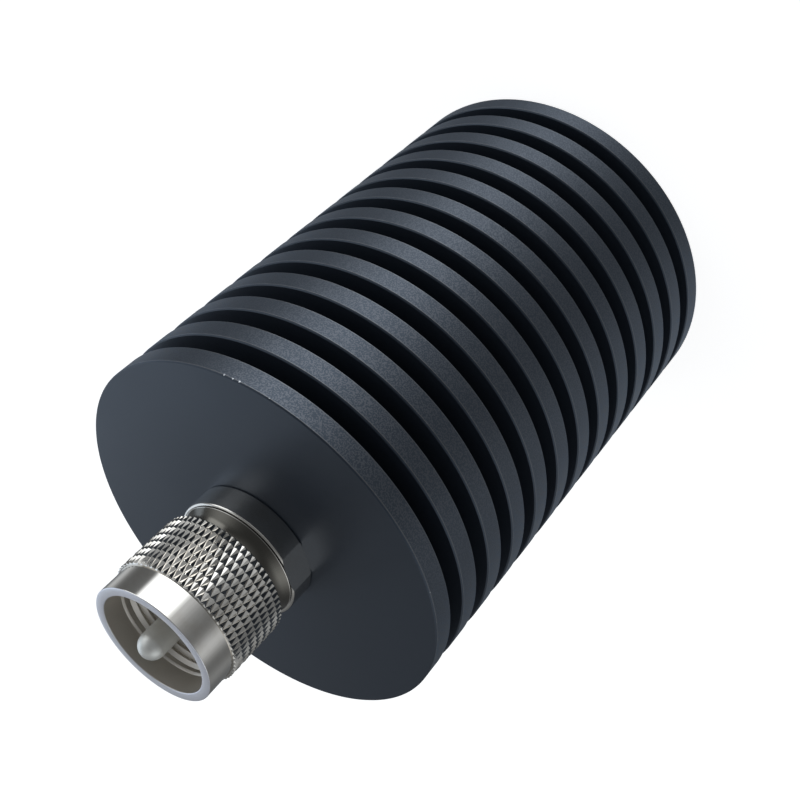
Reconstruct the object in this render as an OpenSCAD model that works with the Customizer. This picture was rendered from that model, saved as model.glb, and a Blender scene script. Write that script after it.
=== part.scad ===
// Coaxial termination with annular cooling fins, standing on its rear face, plug upwards.

/* [Heatsink] */
// Diameter over the fins
body_diameter = 60; // [54:1:70]
// Length of the finned body
body_length = 81.5; // [72:0.5:96]
// Diameter of the solid core under the fins
core_diameter = 32; // [28:1:38]
// Number of fins, both end fins included
fin_count = 13; // [10:1:15]
// Width of each fin at its rim
fin_width = 3.5; // [3:0.1:4.5]
// Chamfer on every fin edge
fin_edge = 0.3; // [0.1:0.05:0.6]
// Chamfer at each groove root
groove_root = 0.5; // [0.2:0.1:0.9]

/* [Blind bore] */
// Diameter of the tapped mouth of the bore
socket_diameter = 16; // [15.5:0.1:17]
// Depth of the tapped mouth
socket_depth = 12; // [9:0.5:15]
// Chamfer at the mouth
socket_edge = 0.4; // [0.2:0.1:0.8]
// How much narrower the plain bore behind it is
bore_step = 1; // [0.8:0.1:1.4]
// Length of the plain bore that holds the carrier
bore_length = 26; // [24:0.5:30]
// Radial play of pieces that sit in a bore
seat_play = 0.03; // [0.02:0.01:0.05]

/* [Connector body] */
// Diameter of the collar on the front face
collar_diameter = 19.6; // [19.2:0.1:22]
// Height of the collar
collar_height = 4.1; // [3:0.1:6]
// Distance across the two wrench flats
flat_distance = 18.8; // [17.8:0.1:19]
// Turn of the wrench flats about the axis
flat_angle = 47; // [0:0.5:90]
// Chamfer on the collar's front edge
collar_edge = 0.35; // [0.1:0.05:0.6]
// Chamfer on the collar's edge against the front face
collar_foot = 0.25; // [0.1:0.05:0.6]
// Chamfer at the end of the tapped spigot
spigot_edge = 0.4; // [0.2:0.1:0.8]
// Height of the thread relief under the collar
relief_height = 0.8; // [0.5:0.1:1.5]
// Depth of the thread relief
relief_depth = 0.3; // [0.1:0.1:0.6]
// Diameter of the neck that carries the nut
neck_diameter = 16.4; // [16.2:0.1:16.6]
// Chamfer at the end of the neck
neck_edge = 0.3; // [0.1:0.1:0.5]
// Diameter of the contact shoulder
shoulder_diameter = 14; // [13.4:0.1:14.2]
// Height of the contact shoulder
shoulder_height = 1; // [0.6:0.1:1.6]
// Diameter of the contact sleeve
sleeve_diameter = 11.8; // [11.4:0.1:12.4]
// Height of the contact sleeve above its shoulder
sleeve_height = 1.6; // [1:0.1:2.4]
// Width of the key slots in the sleeve
key_width = 1.6; // [1:0.1:2.4]
// Depth of the key slots
key_depth = 0.8; // [0.4:0.1:0.9]
// Diameter of the bore for the insulators
insulator_diameter = 10; // [9.4:0.1:10.4]
// Width of the lip that holds the front insulator
lip_width = 0.5; // [0.3:0.1:0.8]
// Height of that lip
lip_height = 1; // [0.6:0.1:1.4]

/* [Coupling nut] */
// Diameter over the knurled band
knurl_diameter = 20.4; // [20.2:0.1:22]
// Length of the knurled band
knurl_length = 10; // [8:0.5:12]
// Depth of the knurl
knurl_depth = 0.25; // [0.15:0.05:0.35]
// Number of diamonds round the band
knurl_count = 66; // [48:2:80]
// Number of half rows of diamonds along the band
knurl_rows = 7; // [5:1:12]
// Plain edge at both ends of the knurl
knurl_setback = 0.12; // [0.05:0.01:0.3]
// How far the band of diamonds lies in the metal at its roots
knurl_bed = 0.1; // [0.05:0.01:0.15]
// Diameter of the smooth front collar
front_diameter = 19.4; // [18.6:0.1:19.6]
// Length of the smooth front collar
front_length = 4.3; // [4:0.1:6]
// Chamfer on the front rim
rim_edge = 0.15; // [0.05:0.05:0.4]
// Space between the collar and the nut
nut_gap = 2.8; // [2:0.1:4]
// Length of the nut's plain rear bore
rear_bore_length = 4.1; // [4:0.1:4.8]
// Chamfer at the mouth of the rear bore
rear_edge = 0.2; // [0.1:0.05:0.4]
// Radial play between neck and nut
nut_play = 0.05; // [0.03:0.01:0.08]
// Axial play between neck and nut
nut_end_play = 0.4; // [0.2:0.1:0.6]
// Bore at the crests of the nut's thread
thread_bore = 14.9; // [14.7:0.05:15.1]
// Lead-in chamfer of the thread
thread_edge = 0.4; // [0.2:0.1:0.5]
// Diameter of the front counterbore
counterbore_diameter = 16.6; // [16.2:0.1:17.1]
// Depth of the front counterbore
counterbore_depth = 3.2; // [2.5:0.1:4]
// Chamfer at the counterbore's mouth
mouth_edge = 0.15; // [0.1:0.05:0.4]

/* [Retaining ring] */
// Thickness of the ring along the axis
ring_height = 1; // [0.8:0.05:1.1]
// Width of the ring's wire
ring_width = 0.9; // [0.8:0.05:1]
// Depth of the ring's groove in the neck
ring_seat = 0.5; // [0.4:0.05:0.6]
// Radial room for the ring inside the nut
ring_room = 0.2; // [0.1:0.05:0.3]
// Height of the ring above the nut's rear face
ring_offset = 1.5; // [1.3:0.1:1.7]
// Axial play of the ring in its grooves
ring_play = 0.15; // [0.1:0.05:0.2]
// Angle of the opening in the ring
ring_opening = 24; // [14:2:40]

/* [Centre pin] */
// Diameter of the contact pin
pin_diameter = 3.96; // [3.8:0.02:4.1]
// How far the pin stands out of the nut
pin_reach = 1.8; // [0.5:0.1:3]
// Diameter of the pin's shank inside the front insulator
shank_diameter = 3; // [2.8:0.1:3.3]
// Diameter of the shoulder between the insulators
pin_shoulder_diameter = 4.4; // [4.1:0.1:5]
// Diameter of the pin's tail
tail_diameter = 2.4; // [2:0.1:2.8]
// How far the tail stands out behind the rear insulator
tail_reach = 2.2; // [1.8:0.1:2.6]

/* [Insulators] */
// Length of the front insulator behind the lip
front_insulator_length = 9; // [7:0.5:11]
// Length of the rear insulator
rear_insulator_length = 4; // [3:0.5:5]
// Space behind the rear insulator inside the spigot
rear_insulator_inset = 1.5; // [1:0.1:2]
// Width of the slit that lets an insulator close round the pin
slit_width = 0.3; // [0.2:0.05:0.5]

/* [Resistor] */
// Distance from the axis down to the carrier's flat
flat_drop = 4; // [3.8:0.1:4.2]
// Width of the flange
flange_width = 9.5; // [9:0.1:10]
// Length of the flange
flange_length = 16; // [15.5:0.5:18]
// Thickness of the flange
flange_height = 1.6; // [1.4:0.1:1.6]
// Space from the carrier's front end to the flange
flange_inset = 2; // [1:0.25:3]
// Length and width of the ceramic block
substrate_size = 8.5; // [8:0.25:8.75]
// Space from the flange's front end to the ceramic block
substrate_inset = 0.4; // [0.2:0.1:0.8]
// Bare margin at the sides and rear of the ceramic cover
lid_margin = 0.4; // [0.2:0.1:0.8]
// Bare strip in front of the ceramic cover
lid_setback = 1.8; // [1.6:0.1:2.4]
// Thickness of the ceramic cover
lid_height = 1; // [0.8:0.1:1.2]
// Width of the ribbon lead
tab_width = 2; // [1.6:0.1:2.4]
// Thickness of the ribbon lead
tab_height = 0.2; // [0.1:0.05:0.25]
// How far the ribbon lies on the ceramic block
tab_overlap = 1.4; // [1:0.1:1.5]
// How far the ribbon stops short of the rear insulator
tab_clearance = 0.4; // [0.2:0.1:0.8]

/* [Flange screw] */
// Diameter of the screw
screw_diameter = 2.5; // [2:0.1:3]
// Depth of the screw in the carrier
screw_depth = 2.6; // [2:0.1:2.7]
// Depth left under the screw's end
screw_room = 0.3; // [0.2:0.1:0.4]
// Radial play of the screw in the flange
screw_play = 0.15; // [0.1:0.05:0.3]
// Distance from the flange's rear end to the screw
screw_inset = 3; // [2.8:0.1:3.4]
// Diameter of the screw's head
head_diameter = 4.4; // [4:0.1:5]
// Height of the screw's head
head_height = 1.25; // [1:0.05:1.6]
// Size of the hexagon socket, corner to corner
hexagon_size = 2; // [1.4:0.1:2.2]
// Depth of the hexagon socket
hexagon_depth = 0.7; // [0.4:0.1:0.8]
// Outside diameter of the spring washer
washer_diameter = 4.6; // [4.2:0.1:5]
// Thickness of the spring washer
washer_height = 0.5; // [0.4:0.1:0.7]
// Angle of the split in the spring washer
washer_split = 15; // [8:1:30]

/* [Hidden] */
eps = 0.01;
round_steps = 96;
fine_steps = 48;

// Heatsink, from the rear face upwards
body_radius = body_diameter / 2;
core_radius = core_diameter / 2;
front_z = body_length;
groove_width = (body_length - fin_count * fin_width) / (fin_count - 1);
pitch = fin_width + groove_width;
socket_radius = socket_diameter / 2;
socket_z = front_z - socket_depth;
bore_radius = socket_radius - bore_step / 2;
bore_z = socket_z - bore_length;

// Coupling nut
nut_z = front_z + collar_height + nut_gap;
nut_seat_z = nut_z + rear_bore_length;
knurl_radius = knurl_diameter / 2;
knurl_root = knurl_radius - knurl_depth;
knurl_core = knurl_root - knurl_bed;
knurl_start_z = nut_z + knurl_setback;
knurl_z = nut_z + knurl_length;
knurl_end_z = knurl_z - knurl_setback;
knurl_step = (knurl_end_z - knurl_start_z) / knurl_rows;
knurl_columns = 2 * knurl_count;
front_radius = front_diameter / 2;
rim_z = knurl_z + front_length;
counterbore_radius = counterbore_diameter / 2;
thread_radius = thread_bore / 2;
thread_z = rim_z - counterbore_depth;

// Connector body
spigot_radius = socket_radius - seat_play;
collar_radius = collar_diameter / 2;
collar_z = front_z + collar_height;
neck_radius = neck_diameter / 2;
neck_z = nut_seat_z - nut_end_play;
nut_bore_radius = neck_radius + nut_play;
shoulder_radius = shoulder_diameter / 2;
shoulder_z = neck_z + shoulder_height;
sleeve_radius = sleeve_diameter / 2;
sleeve_z = shoulder_z + sleeve_height;
insulator_radius = insulator_diameter / 2;
lip_radius = insulator_radius - lip_width;
lip_z = sleeve_z - lip_height;

// Retaining ring and its grooves
ring_z = nut_z + ring_offset;
groove_bottom_z = ring_z - ring_play;
groove_top_z = ring_z + ring_height + ring_play;
ring_seat_radius = neck_radius - ring_seat;
ring_inner = ring_seat_radius + seat_play;
ring_groove_radius = ring_inner + ring_width + ring_room;

// Centre pin and insulators
pin_radius = pin_diameter / 2;
pin_z = rim_z + pin_reach;
nose_z = pin_z - pin_radius;
shank_radius = shank_diameter / 2;
pin_shoulder_radius = pin_shoulder_diameter / 2;
tail_radius = tail_diameter / 2;
front_insulator_z = lip_z - front_insulator_length;
rear_insulator_z = socket_z + rear_insulator_inset;
rear_insulator_top = rear_insulator_z + rear_insulator_length;
tail_z = rear_insulator_z - tail_reach;

// Resistor on its carrier, stacked from the flat up to the pin's tail
carrier_radius = bore_radius - seat_play;
flange_y = -flat_drop;
flange_z = socket_z - flange_inset;
substrate_y = flange_y + flange_height;
substrate_z = flange_z - substrate_inset;
tab_y = -tail_radius - tab_height;
tab_z = substrate_z - tab_overlap;
lid_z = substrate_z - substrate_size + lid_margin;
screw_radius = screw_diameter / 2;
screw_z = flange_z - flange_length + screw_inset;
head_y = substrate_y + washer_height;
stem_length = washer_height + flange_height + screw_depth;
hole_depth = screw_depth + screw_room;

// Section of one groove, open to the outside, with chamfered rims and roots
module groove_section(z)
{
    polygon([
        [core_radius, z + groove_root],
        [core_radius + groove_root, z],
        [body_radius - fin_edge, z],
        [body_radius + eps, z - fin_edge - eps],
        [body_radius + eps, z + groove_width + fin_edge + eps],
        [body_radius - fin_edge, z + groove_width],
        [core_radius + groove_root, z + groove_width],
        [core_radius, z + groove_width - groove_root]
    ]);
}

// Half section of the bar with its blind bore
module bar_section()
{
    polygon([
        [0, 0],
        [body_radius - fin_edge, 0],
        [body_radius, fin_edge],
        [body_radius, front_z - fin_edge],
        [body_radius - fin_edge, front_z],
        [socket_radius + socket_edge, front_z],
        [socket_radius, front_z - socket_edge],
        [socket_radius, socket_z],
        [bore_radius, socket_z],
        [bore_radius, bore_z],
        [0, bore_z]
    ]);
}

module heatsink()
{
    color([0.05, 0.055, 0.065])
        rotate_extrude($fn = round_steps)
            difference()
            {
                bar_section();
                for (i = [0 : fin_count - 2])
                    groove_section(fin_width + i * pitch);
            }
}

// Half section of the connector body, spigot to contact sleeve
module connector_section()
{
    polygon([
        [insulator_radius, socket_z],
        [spigot_radius - spigot_edge, socket_z],
        [spigot_radius, socket_z + spigot_edge],
        [spigot_radius, front_z - relief_height],
        [spigot_radius - relief_depth, front_z - relief_height],
        [spigot_radius - relief_depth, front_z],
        [collar_radius - collar_foot, front_z],
        [collar_radius, front_z + collar_foot],
        [collar_radius, collar_z - collar_edge],
        [collar_radius - collar_edge, collar_z],
        [neck_radius, collar_z],
        [neck_radius, groove_bottom_z],
        [ring_seat_radius, groove_bottom_z],
        [ring_seat_radius, groove_top_z],
        [neck_radius, groove_top_z],
        [neck_radius, neck_z - neck_edge],
        [neck_radius - neck_edge, neck_z],
        [shoulder_radius, neck_z],
        [shoulder_radius, shoulder_z],
        [sleeve_radius, shoulder_z],
        [sleeve_radius, sleeve_z],
        [lip_radius, sleeve_z],
        [lip_radius, lip_z],
        [insulator_radius, lip_z]
    ]);
}

// Material outside one wrench flat
module flat_cut()
{
    translate([flat_distance / 2, -collar_radius, front_z - eps])
        cube([collar_radius, collar_diameter, collar_height + 2 * eps]);
}

// Slot across the sleeve for the keys of a socket
module key_cut()
{
    translate([-sleeve_radius - eps, -key_width / 2, sleeve_z - key_depth])
        cube([sleeve_diameter + 2 * eps, key_width, key_depth + eps]);
}

module connector_body()
{
    color([0.72, 0.7, 0.66])
        difference()
        {
            rotate_extrude($fn = round_steps)
                connector_section();
            for (turn = [0, 180])
                rotate([0, 0, flat_angle + turn])
                    flat_cut();
            for (turn = [0, 90])
                rotate([0, 0, turn])
                    key_cut();
        }
}

// Half section of the coupling nut
module nut_section()
{
    polygon([
        [nut_bore_radius + rear_edge, nut_z],
        [knurl_core, nut_z],
        [knurl_core, knurl_z],
        [front_radius, knurl_z],
        [front_radius, rim_z - rim_edge],
        [front_radius - rim_edge, rim_z],
        [counterbore_radius + mouth_edge, rim_z],
        [counterbore_radius, rim_z - mouth_edge],
        [counterbore_radius, thread_z],
        [thread_radius + thread_edge, thread_z],
        [thread_radius, thread_z - thread_edge],
        [thread_radius, nut_seat_z],
        [nut_bore_radius, nut_seat_z],
        [nut_bore_radius, groove_top_z],
        [ring_groove_radius, groove_top_z],
        [ring_groove_radius, groove_bottom_z],
        [nut_bore_radius, groove_bottom_z],
        [nut_bore_radius, nut_z + rear_edge]
    ]);
}

// Point on one column and row of the knurled band
function band_point(radius, column, row) =
    let (angle = 360 * column / knurl_columns)
    [radius * cos(angle), radius * sin(angle), knurl_start_z + knurl_step * row];

// Crests and roots alternate like a chessboard, right up to both square ends
function band_radius(column, row) =
    (column + row) % 2 == 0 ? knurl_radius : knurl_root;

// Number of a lattice point, counted row by row
function band_index(column, row) = row * knurl_columns + column % knurl_columns;

// Two triangles of one lattice cell, split along its valley
function band_cell(column, row) =
    let (
        a = band_index(column, row),
        b = band_index(column + 1, row),
        c = band_index(column + 1, row + 1),
        d = band_index(column, row + 1)
    )
    (column + row) % 2 == 0 ? [[a, d, b], [b, d, c]] : [[a, c, b], [a, d, c]];

// Band of diamond pyramids on a plain inner wall
module knurl_band()
{
    columns = [0 : knurl_columns - 1];
    wall_row = knurl_rows + 1;
    outer = [for (row = [0 : knurl_rows], column = columns)
        band_point(band_radius(column, row), column, row)];
    wall = [for (row = [0, knurl_rows], column = columns)
        band_point(knurl_core - knurl_bed, column, row)];
    skin = [for (row = [0 : knurl_rows - 1], column = columns)
        each band_cell(column, row)];
    // Each strip joins two rows: rear end, front end and inner wall
    strips = [[0, wall_row], [wall_row + 1, knurl_rows], [wall_row, wall_row + 1]];
    sides = [for (strip = strips, column = columns)
        [band_index(column, strip[0]), band_index(column + 1, strip[0]),
            band_index(column + 1, strip[1]), band_index(column, strip[1])]];
    polyhedron(concat(outer, wall), concat(skin, sides), convexity = 4);
}

module coupling_nut()
{
    color([0.74, 0.72, 0.68])
    {
        rotate_extrude($fn = round_steps)
            nut_section();
        knurl_band();
    }
}

// Open spring ring, half in the neck and half in the nut
module retaining_ring()
{
    color([0.66, 0.5, 0.3])
        rotate([0, 0, ring_opening / 2])
            rotate_extrude(angle = 360 - ring_opening, $fn = round_steps)
                translate([ring_inner, ring_z])
                    square([ring_width, ring_height]);
}

// Radial slit through an insulator
module slit(bottom, top)
{
    translate([0, -slit_width / 2, bottom - eps])
        cube([insulator_radius, slit_width, top - bottom + 2 * eps]);
}

// Front insulator, its nose flush with the contact sleeve
module front_insulator()
{
    color([0.93, 0.92, 0.88])
        difference()
        {
            rotate_extrude($fn = fine_steps)
                polygon([
                    [shank_radius + seat_play, front_insulator_z],
                    [insulator_radius - seat_play, front_insulator_z],
                    [insulator_radius - seat_play, lip_z],
                    [lip_radius - seat_play, lip_z],
                    [lip_radius - seat_play, sleeve_z],
                    [shank_radius + seat_play, sleeve_z]
                ]);
            slit(front_insulator_z, sleeve_z);
        }
}

module rear_insulator()
{
    color([0.93, 0.92, 0.88])
        difference()
        {
            rotate_extrude($fn = fine_steps)
                polygon([
                    [tail_radius + seat_play, rear_insulator_z],
                    [insulator_radius - seat_play, rear_insulator_z],
                    [insulator_radius - seat_play, rear_insulator_top],
                    [tail_radius + seat_play, rear_insulator_top]
                ]);
            slit(rear_insulator_z, rear_insulator_top);
        }
}

// Half section of the pin without its round nose
module pin_section()
{
    polygon([
        [0, tail_z],
        [tail_radius, tail_z],
        [tail_radius, rear_insulator_top],
        [pin_shoulder_radius, rear_insulator_top],
        [pin_shoulder_radius, front_insulator_z],
        [shank_radius, front_insulator_z],
        [shank_radius, sleeve_z],
        [pin_radius, sleeve_z],
        [pin_radius, nose_z],
        [0, nose_z]
    ]);
}

module centre_pin()
{
    color([0.76, 0.74, 0.7])
        rotate_extrude($fn = fine_steps)
        {
            pin_section();
            intersection()
            {
                translate([0, nose_z])
                    circle(r = pin_radius, $fn = fine_steps);
                translate([0, nose_z - eps])
                    square([pin_radius, pin_radius + 2 * eps]);
            }
        }
}

// Half-round slug under the resistor
module resistor_carrier()
{
    color([0.72, 0.45, 0.3])
        difference()
        {
            translate([0, 0, bore_z])
                cylinder(r = carrier_radius, h = bore_length, $fn = round_steps);
            translate([-carrier_radius - eps, flange_y, bore_z - eps])
                cube([2 * carrier_radius + 2 * eps, 2 * carrier_radius, bore_length + 2 * eps]);
            translate([0, flange_y + eps, screw_z])
                rotate([90, 0, 0])
                    cylinder(r = screw_radius + seat_play, h = hole_depth + eps, $fn = fine_steps);
        }
}

module resistor_flange()
{
    color([0.68, 0.66, 0.62])
        difference()
        {
            translate([-flange_width / 2, flange_y, flange_z - flange_length])
                cube([flange_width, flange_height, flange_length]);
            translate([0, substrate_y + eps, screw_z])
                rotate([90, 0, 0])
                    cylinder(r = screw_radius + screw_play, h = flange_height + 2 * eps, $fn = fine_steps);
        }
}

module resistor_substrate()
{
    color([0.9, 0.9, 0.87])
        translate([-substrate_size / 2, substrate_y, substrate_z - substrate_size])
            cube([substrate_size, tab_y - substrate_y, substrate_size]);
}

module resistor_lid()
{
    color([0.86, 0.85, 0.8])
        translate([-substrate_size / 2 + lid_margin, tab_y, lid_z])
            cube([substrate_size - 2 * lid_margin, lid_height, substrate_z - lid_setback - lid_z]);
}

// Ribbon from the film to the underside of the pin's tail
module lead_tab()
{
    color([0.8, 0.79, 0.76])
        translate([-tab_width / 2, tab_y, tab_z])
            cube([tab_width, tab_height, rear_insulator_z - tab_clearance - tab_z]);
}

// Screw with a cylinder head and a hexagon socket
module flange_screw()
{
    color([0.6, 0.6, 0.6])
        translate([0, head_y, screw_z])
            rotate([-90, 0, 0])
                difference()
                {
                    union()
                    {
                        cylinder(d = head_diameter, h = head_height, $fn = fine_steps);
                        translate([0, 0, -stem_length])
                            cylinder(r = screw_radius, h = stem_length + eps, $fn = fine_steps);
                    }
                    translate([0, 0, head_height - hexagon_depth])
                        cylinder(d = hexagon_size, h = hexagon_depth + eps, $fn = 6);
                }
}

// Split washer under the screw head
module spring_washer()
{
    color([0.55, 0.55, 0.56])
        translate([0, substrate_y, screw_z])
            rotate([-90, 0, 0])
                rotate_extrude(angle = 360 - washer_split, $fn = fine_steps)
                    translate([screw_radius + seat_play, 0])
                        square([washer_diameter / 2 - screw_radius - seat_play, washer_height]);
}

heatsink();
connector_body();
coupling_nut();
retaining_ring();
front_insulator();
rear_insulator();
centre_pin();
resistor_carrier();
resistor_flange();
resistor_substrate();
resistor_lid();
lead_tab();
flange_screw();
spring_washer();
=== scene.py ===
import math

import bmesh
import bpy
from bpy.props import FloatProperty, FloatVectorProperty, IntProperty, PointerProperty
from mathutils import Euler, Matrix, Vector


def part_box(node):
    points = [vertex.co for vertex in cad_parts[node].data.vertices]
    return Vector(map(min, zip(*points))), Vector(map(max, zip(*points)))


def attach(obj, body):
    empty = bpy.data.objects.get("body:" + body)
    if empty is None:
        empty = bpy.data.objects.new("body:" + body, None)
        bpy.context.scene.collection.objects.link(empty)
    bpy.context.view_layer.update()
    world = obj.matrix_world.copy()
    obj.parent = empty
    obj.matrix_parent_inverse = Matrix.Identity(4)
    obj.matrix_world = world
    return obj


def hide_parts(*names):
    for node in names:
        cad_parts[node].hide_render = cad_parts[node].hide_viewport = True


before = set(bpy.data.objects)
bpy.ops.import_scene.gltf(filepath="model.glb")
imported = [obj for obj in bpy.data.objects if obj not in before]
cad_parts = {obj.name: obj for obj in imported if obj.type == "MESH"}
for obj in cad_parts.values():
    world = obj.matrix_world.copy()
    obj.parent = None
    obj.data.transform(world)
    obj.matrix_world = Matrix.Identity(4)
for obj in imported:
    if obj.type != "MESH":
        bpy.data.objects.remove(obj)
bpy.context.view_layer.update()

bl_info = {
    "name": "Finned Dummy Load",
    "version": (1, 0, 0),
    "blender": (4, 5, 0),
    "location": "View3D > Sidebar > Dummy Load",
    "description": "Dresses a finned coaxial termination and sets its studio",
    "category": "Add Mesh",
}

MM = 0.001

# Corners of the solids that the pieces stand for
HEATSINK_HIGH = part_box("heatsink")[1]
CONNECTOR_LOW, CONNECTOR_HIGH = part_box("connector_body")
NUT_LOW, NUT_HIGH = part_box("coupling_nut")
PIN_LOW, PIN_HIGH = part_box("centre_pin")
FRONT_INSULATOR_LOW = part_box("front_insulator")[0]
REAR_INSULATOR_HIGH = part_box("rear_insulator")[1]
CARRIER_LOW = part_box("resistor_carrier")[0]

# How close points are merged, how far two faces may turn and still shade as one, and how finely a
# rounding is divided
MERGE_DISTANCE = 0.001 * MM
SHARP_ANGLE = math.radians(32)
ROUND_STEP = 0.2 * MM
ROUND_STEPS_LEAST = 3

# Steps round the axis of each turned piece, of one tooth and of one turn of the thread
BODY_STEPS = 240
CONNECTOR_STEPS = 160
COLLAR_STEPS = 240
NUT_STEPS = 200
PIN_STEPS = 72
TOOTH_STEPS = 16
THREAD_STEPS = 96

# How far a shell reaches into the one that carries it
COLLAR_BURIED = 0.3 * MM
TOOTH_BURIED = 0.05 * MM
KNURL_BURIED = 0.1 * MM

# Small roundings and steps of the turned pieces
FLARE_ROUND = 0.8 * MM
SHOULDER_EDGE = 0.15 * MM
MOUTH_CORNER = 0.1 * MM
TAIL_EDGE = 0.2 * MM
SEAT_EDGE = 0.1 * MM
NOSE_SHARE = 0.995
THREAD_START = 0.1 * MM
THREAD_LEAD = 0.2 * MM
KNURL_MERGE = 0.03 * MM

# The thread's ridge starts as a triangle in a unit circle: its height, and the width that stands for one
# whole turn, a little more than its own
TRIANGLE_HEIGHT = 1.5
TRIANGLE_SPREAD = 1.85


def length(name, description, default):
    """A size in metres."""
    return FloatProperty(name=name, description=description, default=default, min=0.0, precision=5,
                         subtype="DISTANCE", unit="LENGTH")


def colour(name, description, default):
    """A linear colour."""
    return FloatVectorProperty(name=name, description=description, default=default, min=0.0, max=1.0,
                               size=3, subtype="COLOR")


def amount(name, description, default):
    """A plain number."""
    return FloatProperty(name=name, description=description, default=default, min=0.0)


class HeatsinkSettings(bpy.types.PropertyGroup):
    """Sizes and colours of the finned body."""

    radius: length("Radius", "Outer radius over the fins", HEATSINK_HIGH.x)
    body_length: length("Length", "From the rear face to the front face", HEATSINK_HIGH.z)
    core_radius: length("Core radius", "Radius at the bottom of the grooves", 16 * MM)
    fin_count: IntProperty(name="Fins", description="Number of fins, both end fins included",
                           default=13, min=2)
    fin_width: length("Fin width", "Width of each rim along the axis", 3.5 * MM)
    edge_chamfer: length("Edge chamfer", "Chamfer on every fin edge", 0.2 * MM)
    root_round: length("Root rounding", "Rounding at the bottom of the grooves", 0.5 * MM)
    socket_radius: length("Socket radius", "Radius of the mouth that takes the connector", 8 * MM)
    socket_edge: length("Socket edge", "Rounding at that mouth", 0.4 * MM)
    bore_radius: length("Bore radius", "Radius of the blind bore behind the mouth", 7.5 * MM)
    face_colour: colour("Face colour", "Dyed anodising on the turned faces", (0.017, 0.021, 0.029))
    rim_colour: colour("Rim colour", "Dyed anodising on the blasted rims", (0.017, 0.020, 0.025))
    point_colour: colour("Point colour", "Bright points of the blasted rims", (0.105, 0.113, 0.128))
    # The edge colour is partly wear and partly a painted highlight of the rims' edge lines
    edge_highlight_colour: colour("Edge colour", "Worn edges of the rims", (0.145, 0.148, 0.155))
    sheen_colour: colour("Sheen colour", "Tint of the gloss on the anodising", (0.66, 0.80, 1.0))
    metal_colour: colour("Bare metal", "Aluminium that shows in the chips", (0.62, 0.63, 0.65))


class ConnectorSettings(bpy.types.PropertyGroup):
    """Sizes and colour of the fixed connector body."""

    spigot_radius: length("Spigot radius", "Radius of the part inside the heatsink", 7.97 * MM)
    relief_radius: length("Relief radius", "Radius of the relief under the collar", 7.67 * MM)
    relief_height: length("Relief height", "Height of the relief under the collar", 0.8 * MM)
    collar_radius: length("Collar radius", "Radius of the collar on the front face", 9.8 * MM)
    collar_height: length("Collar height", "Height of the collar", 4.1 * MM)
    collar_edge: length("Collar edge", "Rounding of the collar's front edge", 0.35 * MM)
    collar_foot: length("Collar foot", "Rounding of the edge that meets the front face", 0.25 * MM)
    flat_distance: length("Across flats", "Distance across the two wrench flats", 18.8 * MM)
    flat_angle: FloatProperty(name="Flat angle", description="Turn of the wrench flats about the axis",
                              default=math.radians(47), subtype="ANGLE", unit="ROTATION")
    flare_radius: length("Flare radius", "Radius of the neck's flared foot", 9.3 * MM)
    flare_height: length("Flare height", "Height of that foot above the collar", 1.5 * MM)
    neck_radius: length("Neck radius", "Radius of the neck that carries the nut", 8.2 * MM)
    neck_end: length("Neck end", "Height of the neck's end above the rear face", 92.1 * MM)
    neck_edge: length("Neck edge", "Rounding at the end of the neck", 0.3 * MM)
    groove_radius: length("Groove radius", "Radius of the neck under the retaining ring", 7.7 * MM)
    groove_low: length("Groove start", "Height of the ring groove's rear side", 89.75 * MM)
    groove_high: length("Groove end", "Height of the ring groove's front side", 91.05 * MM)
    shoulder_radius: length("Shoulder radius", "Radius of the contact shoulder", 7 * MM)
    shoulder_height: length("Shoulder height", "Height of the contact shoulder", 1 * MM)
    sleeve_radius: length("Sleeve radius", "Radius of the contact sleeve", 5.9 * MM)
    key_width: length("Key width", "Width of the four slots in the sleeve", 1.6 * MM)
    key_depth: length("Key depth", "Depth of the four slots in the sleeve", 0.8 * MM)
    bore_radius: length("Bore radius", "Radius of the bore for the insulators", 5 * MM)
    lip_radius: length("Lip radius", "Radius inside the lip that holds the front insulator", 4.5 * MM)
    lip_height: length("Lip height", "Height of that lip", 1 * MM)
    plate_colour: colour("Plate colour", "Nickel plate", (0.70, 0.665, 0.615))


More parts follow.
